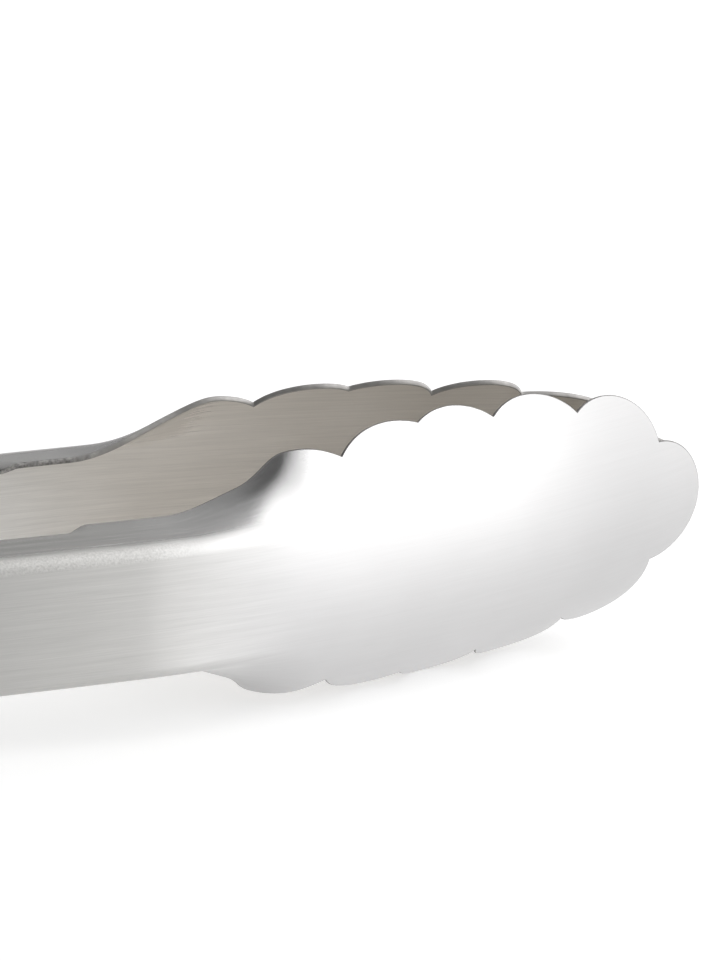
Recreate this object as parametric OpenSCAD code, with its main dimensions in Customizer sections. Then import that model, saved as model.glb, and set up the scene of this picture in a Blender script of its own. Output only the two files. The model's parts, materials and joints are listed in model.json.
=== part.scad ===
// Spring loaded kitchen tongs: two pressed steel arms on one rivet, closed and lying on their side.
// X runs from the hinge to the tips, Y across the two arms, Z up along the rivet.

/* [Arms] */
// Distance from the rivet to the first notch of the head
arm_len = 203.7; // [170:1:260]
// Width of the channel over its two flanges
arm_w = 18.5; // [17:0.5:22]
// Thickness of the pressed sheet
sheet = 1; // [0.8:0.1:1.2]
// Outer radius of the fold between web and flange
fold_r = 1.8; // [1.6:0.1:2.6]
// Depth of the flanges along the grip
grip_flange = 9; // [6:0.2:9.2]
// Depth of the flanges at the neck
neck_flange = 9.4; // [6.4:0.2:10]
// Length of the deeper flanges before the neck
deep_len = 14; // [8:1:30]
// Distance from the centre plane to the outside of the web at the rivet
hinge_half = 9.5; // [9.4:0.1:12]
// Distance from the centre plane to the outside of the web at the neck
neck_half = 22.6; // [18:0.2:28]
// Angle that each arm still spreads at the neck
neck_spread = 1.9; // [0:0.1:4]

/* [Heads] */
// Length over which the channel opens out into the head, up to the first notch
neck_len = 31.7; // [28:0.1:45]
// Distance along the head from the first notch to the second
first_step = 14.7; // [12:0.1:16]
// Distance from the second notch to the third
second_step = 13.7; // [12:0.1:16]
// Distance from the third notch to the fourth and on to the tip lobe
long_step = 16.3; // [14:0.1:19]
// Radius of the head's dish across its width
dish_r = 23.6; // [21:0.1:27]
// Half width of the sheet at the first notch, measured along its curve
first_half = 18.1; // [17:0.1:20]
// Half width of the sheet at its widest notch, measured along its curve
wide_half = 21.3; // [20:0.1:23]
// Half width of the sheet at the third notch, measured along its curve
third_half = 19.8; // [18:0.1:21]
// Half width of the sheet at the fourth notch, measured along its curve
fourth_half = 17.4; // [15:0.1:19]
// Half width of the tip lobe where it starts, measured along its curve
tip_half = 9.5; // [7:0.1:11]
// Height of the first scallop as a share of its chord
scallop_rise = 0.17; // [0.12:0.01:0.22]
// How much this share grows from one scallop to the next
rise_gain = 0.035; // [0:0.005:0.05]
// Height of the tip lobe as a share of its chord
tip_rise = 0.47; // [0.4:0.01:0.49]
// Gap between the two closed tips
tip_gap = 0.7; // [0.4:0.1:2]

/* [Hinge] */
// Radius of the rivet's shank
rivet_r = 2; // [1.5:0.1:2.3]
// Radius of the rivet's domed head
rivet_head_r = 4.2; // [3.6:0.1:5]
// Height of the rivet's domed head
rivet_head_h = 1.4; // [1:0.1:2]
// Radius of the bush that the spring is wound on
bush_r = 3; // [2.8:0.1:3.2]
// Radius of the round ears that the rivet passes through
ear_r = 7; // [6:0.1:7.6]
// Radius of the spring wire
wire_r = 0.75; // [0.5:0.05:0.85]
// Full turns of the spring between its legs
spring_turns = 4; // [2:1:4]
// Reach of the spring's legs along the arms
leg_reach = 34; // [24:1:50]

/* [Lock] */
// Travel of the pull tab from open to locked
lock_travel = 7; // [6:0.5:9]
// Thickness of the strap that makes the pull tab
strap = 0.8; // [0.6:0.1:1]
// Radius of the bar that the hooks catch
bar_r = 1; // [0.8:0.05:1.2]
// Distance from the rivet to the bar when locked
bar_locked = 16.5; // [16:0.5:19]
// Radius of the round end of the pull tab
tab_r = 9; // [8:0.5:12]
// Radius of the hole to hang the tongs by
hang_r = 5; // [3.5:0.1:6]

/* [Clearances] */
// Radial clearance of a turning fit
run_fit = 0.05; // [0.02:0.01:0.1]
// Side gap between sheets that slide on each other
side_gap = 0.15; // [0.1:0.05:0.2]
// Gap between the lock bar and a closed hook
hook_gap = 0.25; // [0.2:0.05:0.4]
// Gap between the end of a spring leg and the web
leg_gap = 0.25; // [0.2:0.05:0.4]

/* [Hidden] */
$fn = 48;
STEEL = "#c8c6c1";
BRIGHT = "#dcdcda";
SPRING = "#a9a8a4";

// Arc of each arm from the rivet to the neck, and how far its web runs on behind the rivet
bow_len = arm_len - neck_len;
hinge_spread = 2 * asin((neck_half - hinge_half) / bow_len) - neck_spread;
bow_r = bow_len / ((hinge_spread - neck_spread) * PI / 180);
bow_centre = [bow_r * sin(hinge_spread), hinge_half - bow_r * cos(hinge_spread)];
web_rear = 6;
function bow_point(a) = bow_centre + bow_r * [-sin(a), cos(a)];
function bow_angle(along) = hinge_spread - along / bow_r * 180 / PI;
neck_point = bow_point(neck_spread);

// Section of the sheet: v runs along the outer face from the middle of the web
flat_half = arm_w / 2 - fold_r;
fold_end = flat_half + fold_r * PI / 2;
function flange_end(depth) = fold_end + depth - fold_r;
channel_half = flange_end(neck_flange);

// Share of the channel that has turned into dish at a distance x past the neck
dish_start = 2.4;
dish_full = neck_len - 3.1;
function unit(p) = p / norm(p);
function smooth(u) = let (w = max(0, min(1, u))) w * w * (3 - 2 * w);
function dish(x) = smooth((x - dish_start) / (dish_full - dish_start));

// Turning angle of the section and its running sums of cosine and sine
function part_sum(a0, rate, len) = abs(rate) < 0.0001
    ? len * [cos(a0), sin(a0)]
    : 180 / PI / rate * [sin(a0 + rate * len) - sin(a0), cos(a0) - cos(a0 + rate * len)];
function section(b, v) =
    let (curl = b * 180 / PI / dish_r)
    let (fold = curl + (1 - b) * 90 / (fold_end - flat_half))
    let (v1 = min(v, flat_half))
    let (v2 = max(0, min(v, fold_end) - flat_half))
    let (v3 = max(0, v - fold_end))
    let (a1 = curl * flat_half)
    let (a2 = a1 + fold * (fold_end - flat_half))
    part_sum(0, curl, v1) + part_sum(a1, fold, v2) + part_sum(a2, curl, v3);

// Scalloped outline of half the head, in distance past the neck and half width along the sheet
crest_over = 2.4;
crest_back = 8.7;
crest = [neck_len - crest_back, first_half + crest_over];
notch_a = [neck_len, first_half];
notch_b = [notch_a[0] + first_step, wide_half];
notch_c = [notch_b[0] + second_step, third_half];
notch_d = [notch_c[0] + long_step, fourth_half];
notch_e = [notch_d[0] + long_step, tip_half];
scallop_steps = 7;
rise_start = neck_len - 16.5;
rise_pow = 1.3;
function arc(p, q, rise, n, share = 1) =
    let (c = norm(q - p))
    let (side = [p[1] - q[1], q[0] - p[0]] / c)
    let (h = rise * c)
    let (r = (c * c / 4 + h * h) / (2 * h))
    let (o = (p + q) / 2 - (r - h) * side)
    let (a0 = atan2(p[1] - o[1], p[0] - o[0]))
    let (a1 = atan2(q[1] - o[1], q[0] - o[0]))
    [for (i = [1:n]) let (a = a0 + (a1 - a0) * share * i / n) o + r * [cos(a), sin(a)]];
rise_steps = 9;
function rise_at(u) = channel_half + (crest[1] - channel_half) * pow(smooth(u), rise_pow);
neck_points = [for (i = [0:3]) [rise_start * i / 4, channel_half]];
rise_points = [for (i = [0:rise_steps]) let (u = i / rise_steps)
    [rise_start + (crest[0] - rise_start) * u, rise_at(u)]];
fall = crest[1] - notch_a[1];
fall_len = notch_a[0] - crest[0];
fall_r = (fall_len * fall_len + fall * fall) / (2 * fall);
fall_points = [for (i = [1:4])
    let (x = fall_len * i / 4)
    [crest[0] + x, crest[1] - fall_r + sqrt(fall_r * fall_r - x * x)]];
grip_steps = 8;
step_len = 0.4;
grip_len = bow_len + web_rear - deep_len;
grip_points = [for (i = [0:grip_steps])
    [grip_len * i / grip_steps - bow_len - web_rear, flange_end(grip_flange)]];
outline = concat(grip_points, [[step_len - deep_len, channel_half]], neck_points, rise_points, fall_points,
    arc(notch_a, notch_b, scallop_rise, scallop_steps),
    arc(notch_b, notch_c, scallop_rise + rise_gain, scallop_steps),
    arc(notch_c, notch_d, scallop_rise + 2 * rise_gain, scallop_steps),
    arc(notch_d, notch_e, scallop_rise + 3 * rise_gain, scallop_steps),
    arc(notch_e, [notch_e[0], -notch_e[1]], tip_rise, scallop_steps, 0.5));
last = len(outline) - 1;
tip_x = outline[last][0];

// Spine of the head bends inwards until the tips meet on the centre plane
bend_start = 0.5;
bend_pow = 1.86;
tip_face = sheet + tip_gap / 2;
bend_drop = (neck_point[1] + tip_x * sin(neck_spread) - tip_face) / cos(neck_spread);
function spine(x) = -bend_drop * pow(max(0, x - bend_start) / (tip_x - bend_start), bend_pow);

// Point on the outer face: x past the neck, or before it along the bow, and v along the section
neck_ahead = [cos(neck_spread), sin(neck_spread)];
neck_out = [-sin(neck_spread), cos(neck_spread)];
function along_arm(x, out) = x < 0
    ? let (a = bow_angle(bow_len + x)) bow_centre + (bow_r + out) * [-sin(a), cos(a)]
    : neck_point + x * neck_ahead + out * neck_out;
function face(x, v) =
    let (s = section(dish(x), abs(v)))
    let (p = along_arm(x, spine(x) - s[1]))
    [p[0], p[1], sign(v) * s[0]];
probe = 0.01;
function normal(x, v) =
    let (across = face(x, v + probe) - face(x, v - probe))
    let (ahead = face(x + probe, v) - face(x, v))
    unit(cross(across, ahead));
function layer(x, v, inner) = face(x, v) - (inner ? sheet * normal(x, v) : [0, 0, 0]);

// Columns of the mesh from the spine to the rim, closer together over the fold
web_steps = 3;
fold_steps = 4;
flange_cols = 3;
web_cols = [for (i = [0:web_steps - 1]) flat_half * i / web_steps];
fold_cols = [for (i = [0:fold_steps]) flat_half + (fold_end - flat_half) * i / fold_steps];
fold_col = len(web_cols) + len(fold_cols) - 1;
half_cols = fold_col + flange_cols;
all_cols = 2 * half_cols + 1;
function column(j, half) = j > fold_col
    ? fold_end + (half - fold_end) * (j - fold_col) / flange_cols
    : concat(web_cols, fold_cols)[j];
function share(j) = column(j, channel_half) / channel_half;
function along_section(j, p) = p[0] > 0 ? p[1] * share(j) : column(j, p[1]);
fan_x = notch_d[0] + long_step / 3;
fan_row = min([for (i = [0:last]) if (outline[i][0] >= fan_x) i]);
function mesh_point(i, c, inner) =
    let (j = abs(c - half_cols))
    let (x0 = min(outline[i][0], fan_x))
    layer(x0 + (outline[i][0] - x0) * share(j), sign(c - half_cols) * along_section(j, outline[i]), inner);
sheet_points = [for (inner = [false, true]) for (i = [0:last]) for (c = [0:all_cols - 1])
    mesh_point(i, c, inner)];
function at(inner, i, c) =
    let (cc = i == last ? half_cols + abs(c - half_cols) : c)
    let (ii = cc == half_cols && i > fan_row ? fan_row : i)
    (inner * (last + 1) + ii) * all_cols + cc;
function pair(a, b, c, d) = [for (t = [[a, c, b], [a, d, c]])
    if (t[0] != t[1] && t[1] != t[2] && t[0] != t[2]) t];
sheet_faces = [
    for (i = [0:last - 1]) for (c = [0:all_cols - 2])
        each pair(at(0, i, c), at(0, i, c + 1), at(0, i + 1, c + 1), at(0, i + 1, c)),
    for (i = [0:last - 1]) for (c = [0:all_cols - 2])
        each pair(at(1, i, c), at(1, i + 1, c), at(1, i + 1, c + 1), at(1, i, c + 1)),
    for (c = [0:all_cols - 2])
        each pair(at(0, 0, c), at(1, 0, c), at(1, 0, c + 1), at(0, 0, c + 1)),
    for (i = [0:last - 1])
        each pair(at(0, i, 0), at(0, i + 1, 0), at(1, i + 1, 0), at(1, i, 0)),
    for (i = [0:last - 1]) let (c = all_cols - 1)
        each pair(at(0, i, c), at(1, i, c), at(1, i + 1, c), at(0, i + 1, c))];

// Heights of the nested ears, the strap between them and the bar
near_ear = arm_w / 2;
far_ear = near_ear - sheet - side_gap;
strap_z = far_ear - sheet - side_gap;
joggle_start = 10;
joggle_end = 14;
hook_w = 0.8;
hook_in = bar_r + hook_gap;
hook_out = hook_in + hook_w;
hook_root = bar_locked - 5.5;
hook_tip = bar_locked + 3.5;
bar_open = bar_locked + lock_travel;
slot_side = 2;
slot_half = bush_r + side_gap;
strap_half = slot_half + slot_side;
tab_x = -30;

// Place of the whole part: on its side, centred over its footprint
tip_point = face(tip_x, 0);
lift = max([for (p = outline) face(p[0], p[1])[2]]);
middle = (tip_point[0] + tab_x - tab_r) / 2;
module placed() { translate([-middle, 0, lift]) children(); }

// Both faces of the plates at heights top and -top
module plate_pair(top, thick) {
    for (z = [top - thick, -top])
        translate([0, 0, z]) linear_extrude(thick) children();
}

// Round ear with the hook that the lock bar slides behind
web_y = bow_point(bow_angle(-web_rear))[1];
module ear_outline(front, top) {
    circle(ear_r);
    polygon([[-web_rear, top], [-ear_r, 0], [ear_r, 0], [front, top - grip_flange / 2], [front, top]]);
    polygon([[0, sheet - ear_r], [hook_root, -hook_out], [hook_root, -hook_in], [0, -hook_in]]);
    translate([0, -hook_out]) square([hook_tip, hook_out - hook_in]);
    translate([hook_tip, -(hook_in + hook_out) / 2]) circle((hook_out - hook_in) / 2);
}
module rivet_bore() { cylinder(h = 2 * arm_w, r = rivet_r + run_fit, center = true); }

module near_arm() {
    color(STEEL) placed() mirror([0, 1, 0]) difference() {
        union() {
            polyhedron(sheet_points, sheet_faces);
            plate_pair(near_ear, sheet) ear_outline(joggle_end, web_y - fold_r);
        }
        rivet_bore();
    }
}

// The far arm's ears are joggled inwards to nest between the near arm's ears
module far_arm() {
    cut_rear = 2 * web_rear;
    cut_y = hinge_half - sheet - side_gap / 2;
    color(STEEL) placed() difference() {
        union() {
            difference() {
                polyhedron(sheet_points, sheet_faces);
                translate([0, cut_y, 0]) rotate(hinge_spread) translate([-cut_rear, -arm_w, -arm_w])
                    cube([cut_rear + joggle_end, arm_w, 2 * arm_w]);
            }
            plate_pair(far_ear, sheet) ear_outline(joggle_start, web_y - sheet / 2);
            for (side = [-1, 1]) joggle(side);
        }
        rivet_bore();
    }
}
module joggle(side) {
    edge_y = bow_point(bow_angle(joggle_start))[1] - grip_flange + sheet;
    top_y = bow_point(bow_angle(joggle_start))[1] - sheet / 2;
    rear = joggle_start - sheet;
    front = joggle_end + sheet;
    translate([0, top_y, 0]) rotate([90, 0, 0]) linear_extrude(top_y - edge_y) scale([1, side])
        polygon([[rear, far_ear - sheet], [joggle_start, far_ear - sheet], [joggle_end, near_ear - sheet],
                 [front, near_ear - sheet], [front, near_ear], [joggle_end, near_ear],
                 [joggle_start, far_ear], [rear, far_ear]]);
}

// Rivet with a low dome above the ears and a peened tail below the washer
washer_h = 0.8;
washer_r = rivet_head_r + washer_h / 2;
tail_h = 1;
tail_r = rivet_r + tail_h;
tail_edge = tail_h / 2;
dome_steps = 8;
dome_r = (rivet_head_r * rivet_head_r + rivet_head_h * rivet_head_h) / (2 * rivet_head_h);
module hinge_rivet() {
    top = near_ear + run_fit;
    bottom = near_ear + washer_h + 2 * run_fit;
    dome = [for (i = [0:dome_steps]) let (a = asin(rivet_head_r / dome_r) * (1 - i / dome_steps))
        [dome_r * sin(a), top + rivet_head_h - dome_r + dome_r * cos(a)]];
    tail = [[0, -bottom - tail_h], [tail_r - tail_edge, -bottom - tail_h],
            [tail_r, -bottom - tail_h + tail_edge], [tail_r, -bottom], [rivet_r, -bottom]];
    color(BRIGHT) placed() rotate_extrude() polygon(concat(tail, [[rivet_r, top]], dome));
}
module rivet_washer() {
    color(BRIGHT) placed() translate([0, 0, -near_ear - run_fit - washer_h]) linear_extrude(washer_h)
        difference() {
            circle(washer_r);
            circle(rivet_r + run_fit);
        }
}

// Bush between the far arm's ears, which the strap and the spring slide around
bush_half = far_ear - sheet - run_fit;
module spring_bush() {
    color(BRIGHT) placed() translate([0, 0, -bush_half]) linear_extrude(2 * bush_half)
        difference() {
            circle(bush_r);
            circle(rivet_r + run_fit);
        }
}

// Torsion spring: legs that press the webs apart, wound clockwise round the bush
coil_gap = 0.45;
coil_r = bush_r + wire_r + coil_gap;
coil_pitch = 2 * wire_r + 2 * run_fit;
leg_y = bow_point(bow_angle(leg_reach))[1] - sheet - wire_r - leg_gap;
leg_turn = atan2(leg_y, leg_reach) + acos(coil_r / norm([leg_reach, leg_y]));
coil_sweep = 360 * spring_turns - 2 * leg_turn;
turn_steps = 20;
coil_steps = turn_steps * spring_turns;
coil_z = coil_pitch * coil_sweep / 720;
wire_sides = 8;
coil_path = concat([[leg_reach, -leg_y, -coil_z]],
    [for (i = [0:coil_steps]) let (a = -leg_turn - coil_sweep * i / coil_steps)
        [coil_r * cos(a), coil_r * sin(a), coil_z * (2 * i / coil_steps - 1)]],
    [[leg_reach, leg_y, coil_z]]);
function ring(i, n) =
    let (ahead = unit(coil_path[min(n, i + 1)] - coil_path[max(0, i - 1)]))
    let (side = unit(cross(ahead, [0, 0, 1])))
    let (up = cross(side, ahead))
    [for (k = [0:wire_sides - 1]) let (a = 360 * k / wire_sides)
        coil_path[i] + wire_r * (cos(a) * side + sin(a) * up)];
module torsion_spring() {
    n = len(coil_path) - 1;
    rings = [for (i = [0:n]) each ring(i, n)];
    tube = [for (i = [0:n - 1]) for (k = [0:wire_sides - 1]) let (j = (k + 1) % wire_sides)
        each [[i * wire_sides + k, (i + 1) * wire_sides + k, (i + 1) * wire_sides + j],
              [i * wire_sides + k, (i + 1) * wire_sides + j, i * wire_sides + j]]];
    first = [for (k = [0:wire_sides - 1]) k];
    end = [for (k = [wire_sides - 1:-1:0]) n * wire_sides + k];
    color(SPRING) placed() polyhedron(rings, concat(tube, [first, end]));
}

// Folded strap: two cheeks either side of the spring that close into the pull tab
module lock_strap() {
    closed = -20;
    parted = -10;
    tapered = (closed + parted) / 2;
    crotch = strap * 1.5;
    wide = tab_r - strap;
    front = bar_open + strap_half + strap;
    end = tab_x - tab_r - strap;
    cheek = [[end, 0], [end, strap], [closed, strap], [parted, strap_z], [front, strap_z],
             [front, strap_z - strap], [parted, strap_z - strap]];
    color(STEEL) placed() difference() {
        intersection() {
            rotate([90, 0, 0]) linear_extrude(4 * tab_r, center = true)
                polygon(concat(cheek, [[closed + crotch, 0]],
                               [for (i = [len(cheek) - 1:-1:1]) [cheek[i][0], -cheek[i][1]]]));
            linear_extrude(2 * arm_w, center = true) {
                translate([tab_x, 0]) circle(tab_r);
                polygon([[tapered, strap_half], [tab_x, wide], [tab_x, -wide], [tapered, -strap_half]]);
                translate([tapered, -strap_half]) square([bar_open - tapered, 2 * strap_half]);
                translate([bar_open, 0]) circle(strap_half);
            }
        }
        translate([0, 0, -arm_w]) linear_extrude(2 * arm_w) {
            translate([tab_x, 0]) circle(hang_r);
            translate([bar_open, 0]) circle(bar_r);
            for (x = [0, lock_travel]) translate([x, 0]) circle(slot_half);
            translate([0, -slot_half]) square([lock_travel, 2 * slot_half]);
        }
    }
}
module lock_bar() {
    color(BRIGHT) placed() translate([bar_open, 0, -near_ear]) cylinder(h = 2 * near_ear, r = bar_r);
}

near_arm();
far_arm();
hinge_rivet();
rivet_washer();
spring_bush();
torsion_spring();
lock_strap();
lock_bar();
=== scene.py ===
"""Dressed model of spring loaded kitchen tongs, laid out as an add-on and run as a script."""

import json
import math

import bpy
import numpy as np
from bpy.props import FloatProperty, FloatVectorProperty, IntProperty, PointerProperty
from mathutils import Matrix, Vector


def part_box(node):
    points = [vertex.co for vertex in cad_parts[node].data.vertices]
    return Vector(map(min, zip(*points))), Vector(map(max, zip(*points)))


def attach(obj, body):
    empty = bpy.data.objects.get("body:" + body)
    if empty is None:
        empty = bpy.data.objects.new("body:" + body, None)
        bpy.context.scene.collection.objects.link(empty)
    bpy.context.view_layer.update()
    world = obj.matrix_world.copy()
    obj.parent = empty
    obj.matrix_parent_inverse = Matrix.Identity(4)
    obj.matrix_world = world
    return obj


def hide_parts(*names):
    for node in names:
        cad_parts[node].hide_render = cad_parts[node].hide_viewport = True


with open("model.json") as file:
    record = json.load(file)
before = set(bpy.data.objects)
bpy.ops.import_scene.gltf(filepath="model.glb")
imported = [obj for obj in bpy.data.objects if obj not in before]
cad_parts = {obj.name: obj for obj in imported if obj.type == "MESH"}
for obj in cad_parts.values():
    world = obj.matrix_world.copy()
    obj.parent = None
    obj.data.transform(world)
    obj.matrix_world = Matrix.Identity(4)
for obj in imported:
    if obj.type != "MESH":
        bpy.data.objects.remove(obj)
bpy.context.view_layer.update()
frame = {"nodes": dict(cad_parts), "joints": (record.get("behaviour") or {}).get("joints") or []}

bl_info = {
    "name": "Kitchen Tongs",
    "version": (1, 0, 0),
    "blender": (4, 5, 0),
    "location": "View3D > Sidebar > Tongs",
    "description": "Builds spring loaded kitchen tongs round their packed parts",
    "category": "Add Mesh",
}

MM = 0.001
DOUBLES = 0.01 * MM
JOINTS = {joint["name"]: joint for joint in frame["joints"]}
PIN = Vector(JOINTS["arm_hinge"]["pos_m"])
HALF_OPENING = math.radians(JOINTS["arm_hinge"]["range_deg"][1] / 2)
SLIDE = JOINTS["lock_slide"]["range_m"][1]
ARM_SHEETS = ("near_arm_sheet", "far_arm_sheet")


# Sizes and colours


def amount(name, description, default, **settings):
    """A property of 0 or more."""
    return FloatProperty(name=name, description=description, default=default, min=0.0, **settings)


def length(name, description, default):
    """A length property in metres, given in millimetres."""
    return amount(name, description, default * MM, subtype="DISTANCE", unit="LENGTH", precision=4)


def share(name, description, default):
    """A property between 0 and 1."""
    return amount(name, description, default, max=1.0, subtype="FACTOR")


def angle(name, description, default):
    """An angle property, given in degrees."""
    return FloatProperty(name=name, description=description, default=math.radians(default),
                         subtype="ANGLE", unit="ROTATION")


def colour(name, description, default):
    """A linear colour property."""
    return FloatVectorProperty(name=name, description=description, default=default, size=3,
                               min=0.0, max=1.0, subtype="COLOR")


def rim_shares(name, description, default):
    """One share for each scallop of a rim."""
    return FloatVectorProperty(name=name, description=description, default=default, size=4,
                               min=0.01, max=0.5)


def rim_shift(name, description, default):
    """One shift in metres for a rim's crest and each of its five notches, given in millimetres."""
    return FloatVectorProperty(name=name, description=description, size=6, unit="LENGTH",
                               default=[value * MM for value in default])


class TongsArmProperties(bpy.types.PropertyGroup):
    """Sizes of the channel arms"""

    bow: length("Bow", "Length of the bowed channel from the rivet to the neck", 172.0)
    width: length("Width", "Width of the channel over its flanges", 18.5)
    sheet: length("Sheet", "Thickness of the pressed sheet", 0.8)
    fold: length("Fold radius", "Outer radius of the fold between web and flange", 1.8)
    grip_flange: length("Grip flange", "Depth of the flanges along the grip", 9.2)
    neck_flange: length("Neck flange", "Depth of the flanges at the neck", 9.4)
    deep: length("Open stretch", "Length before the neck where the edge isn't curled", 6.4)
    far_deep: length("Far open stretch", "The same for the far arm", 3.1)
    step: length("Step", "Length over which the curl starts", 4.0)
    hinge_half: length("Hinge half", "Centre plane to the outside of the web at the rivet", 9.5)
    neck_half: length("Neck half", "Centre plane to the outside of the web at the neck", 22.8)
    spread: angle("Spread", "Angle that each arm still spreads at the neck", 1.9)
    kink: angle("Kink", "Angle that the web turns in at once at the neck", 1.4)
    flare: angle("Flare", "How far the flanges stand open past square", 7.5)
    curl: length("Curl", "Depth of the flange edge that is curled in along the grip", 2.6)
    curl_radius: length("Curl radius", "Radius of the curled edge", 2.2)
    rear: length("Rear", "How far the web runs on behind the rivet", 6.0)
    edge: length("Edge", "Rounding of the sheared edges", 0.24)


class TongsHeadProperties(bpy.types.PropertyGroup):
    """Sizes of the scalloped heads"""

    neck: length("Neck", "Neck to the first notch, along the head", 31.7)
    first_step: length("First step", "First notch to the second", 14.7)
    second_step: length("Second step", "Second notch to the third", 13.7)
    long_step: length("Long step", "Third notch to the fourth, and on to the tip lobe", 16.3)
    first_half: length("First half", "Half width of the sheet at the first notch", 18.1)
    wide_half: length("Wide half", "Half width of the sheet at the second notch", 21.3)
    third_half: length("Third half", "Half width of the sheet at the third notch", 19.8)
    fourth_half: length("Fourth half", "Half width of the sheet at the fourth notch", 17.4)
    tip_half: length("Tip half", "Half width of the tip lobe where it starts", 9.7)
    rises: rim_shares("Rises", "Height of each scallop as a share of its chord", (0.16, 0.18, 0.215, 0.265))
    low_rises: rim_shares("Lower rises", "The same for the near arm's lower rim", (0.19, 0.33, 0.4, 0.35))
    low_ahead: rim_shift("Lower shift", "How far that rim's crest and notches stand ahead",
                         (-2.4, -0.3, 0.5, 0.5, 0.5, 0.3))
    low_wider: rim_shift("Lower width", "How much wider that rim's crest and notches are",
                         (0.6, -0.5, 0.5, 0.3, 0.0, -0.6))
    far_rises: rim_shares("Far rises", "The same for the far arm's upper rim", (0.235, 0.235, 0.28, 0.14))
    far_start: length("Far start", "How much later the far arm's upper rim starts to widen", 3.0)
    far_ahead: rim_shift("Far shift", "How far that rim's crest and notches stand ahead",
                         (3.6, 2.6, 0.5, 0.0, -3.0, 0.59))
    far_wider: rim_shift("Far width", "How much wider that rim's crest and notches are",
                         (-1.0, -1.1, -0.6, -1.2, 0.7, -0.9))
    tip_rise: share("Tip rise", "Height of the tip lobe as a share of its chord", 0.49)
    dish: length("Dish radius", "Radius of the head's dish across its width", 23.6)
    gap: length("Tip gap", "Gap between the two closed tips", 1.1)


class TongsHingeProperties(bpy.types.PropertyGroup):
    """Sizes of the ears, the hooks and the spring"""

    ear: length("Ear radius", "Radius of the round ears about the rivet", 7.0)
    bore: length("Bore radius", "Radius of the rivet holes", 2.05)
    side_gap: length("Side gap", "Gap between the nested ears", 0.35)
    hook_in: length("Hook inside", "Centre plane to the inside of a hook", 1.4)
    hook_width: length("Hook width", "Width of a hook", 0.8)
    hook_root: length("Hook root", "Rivet to where a hook's straight finger starts", 11.0)
    hook_tip: length("Hook tip", "Rivet to the tip of a hook", 20.0)
    wire: length("Wire radius", "Radius of the spring wire", 0.75)
    coil: length("Coil radius", "Radius of the spring's coil to the middle of its wire", 4.2)
    turns: IntProperty(name="Turns", description="Full turns of the spring", default=4, min=1, max=6)
    turn_gap: length("Turn gap", "Gap between two turns of the spring", 0.1)
    leg: length("Leg reach", "Reach of the spring's legs along the arms", 34.0)
    leg_gap: length("Leg gap", "Gap between the end of a leg and the web", 0.25)


class TongsLockProperties(bpy.types.PropertyGroup):
    """Sizes of the pull tab and its strap"""

    strip: length("Strip", "Thickness of the strip", 0.8)
    cheek_z: length("Cheek height", "Centre to the outer face of each cheek", 6.95)
    half: length("Half width", "Half width of the strap", 5.15)
    slot: length("Slot half", "Half width of the slot", 3.15)
    bar_x: length("Bar place", "Rivet to the lock bar with the tab pushed in", 23.5)
    bar: length("Bar radius", "Radius of the lock bar", 1.1)
    parted: length("Parted", "Rivet back to where the cheeks start to close up", 10.0)
    closed: length("Closed", "Rivet back to where the cheeks have met", 20.0)
    tab_x: length("Tab place", "Rivet back to the middle of the tab", 30.0)
    tab: length("Tab radius", "Radius of the round end of the tab", 9.0)
    hole: length("Hole radius", "Radius of the hanging hole", 5.0)


class TongsFinishProperties(bpy.types.PropertyGroup):
    """Colours and finishes of the steel"""

    steel: colour("Steel", "Colour of the brushed sheet", (0.577, 0.573, 0.574))
    # Partly the inner side's real duller finish, partly painted fill light: lighter and less metallic so that
    # the shaded inner faces come out brighter
    inside: colour("Inside", "Colour of the duller inner side of the sheet", (0.80, 0.765, 0.715))
    # Painted shade: a little darker than the head, standing for the darker reflection along the grip
    grip: colour("Grip", "Colour of the brushed sheet along the grip", (0.555, 0.55, 0.535))
    # Painted fill light: lighter still along the grip, where the far arm's inner web lies in shade
    channel: colour("Channel", "Colour of the inner side along the grip", (0.96, 0.955, 0.94))
    sheared: colour("Sheared edge", "Colour of the raw sheared edge", (0.36, 0.35, 0.34))
    bright: colour("Bright steel", "Colour of the turned and drawn steel", (0.66, 0.66, 0.65))
    wire: colour("Spring wire", "Colour of the spring wire", (0.42, 0.41, 0.40))
    rough: share("Roughness", "Mean roughness of the brushed sheet", 0.40)
    burnish: share("Burnish", "How much smoother the flanges and shoulders are", 0.18)
    grain: amount("Fold grain", "Height of the grain along the folds", 7.0)
    # Painted light and shade: over this length from the tips the heads' rims take a painted tone, lighter on
    # the far arm, darker on the near arm
    painted: length("Painted edges", "Length of the heads' tumbled edges, from the tips back", 101.0)
    streak: length("Streak width", "Width of the finest brush streaks", 0.16)


class TongsStudioProperties(bpy.types.PropertyGroup):
    """Floor, lights and camera"""

    aim: FloatVectorProperty(name="Aim", description="Point that the camera looks at", size=3,
                             default=(0.0965, -0.0027, 0.0281), subtype="XYZ", unit="LENGTH")
    turn: angle("Turn", "Turn of the camera round the tongs", -32.14)
    height: angle("Height", "Angle of the camera above the horizon", 17.21)
    roll: angle("Roll", "Roll of the camera", 4.20)
    distance: length("Distance", "Camera to the aim point", 545.5)
    lens: amount("Lens", "Focal length of the camera in millimetres", 145.9)
    floor: colour("Floor", "Colour of the floor", (0.62, 0.62, 0.62))
    floor_glow: amount("Floor glow", "Light that comes through the floor", 0.55)
    box: amount("Softboxes", "Brightness of the softboxes", 2.2)
    room: amount("Room", "Brightness of the room round the softboxes", 0.12)


# Helpers


def deselect():
    """Leave edit mode and deselect everything."""
    if bpy.context.object and bpy.context.object.mode != "OBJECT":
        bpy.ops.object.mode_set(mode="OBJECT")
    bpy.ops.object.select_all(action="DESELECT")


def activate(obj):
    """Make obj the only selected object."""
    deselect()
    obj.select_set(True)
    bpy.context.view_layer.objects.active = obj


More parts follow.
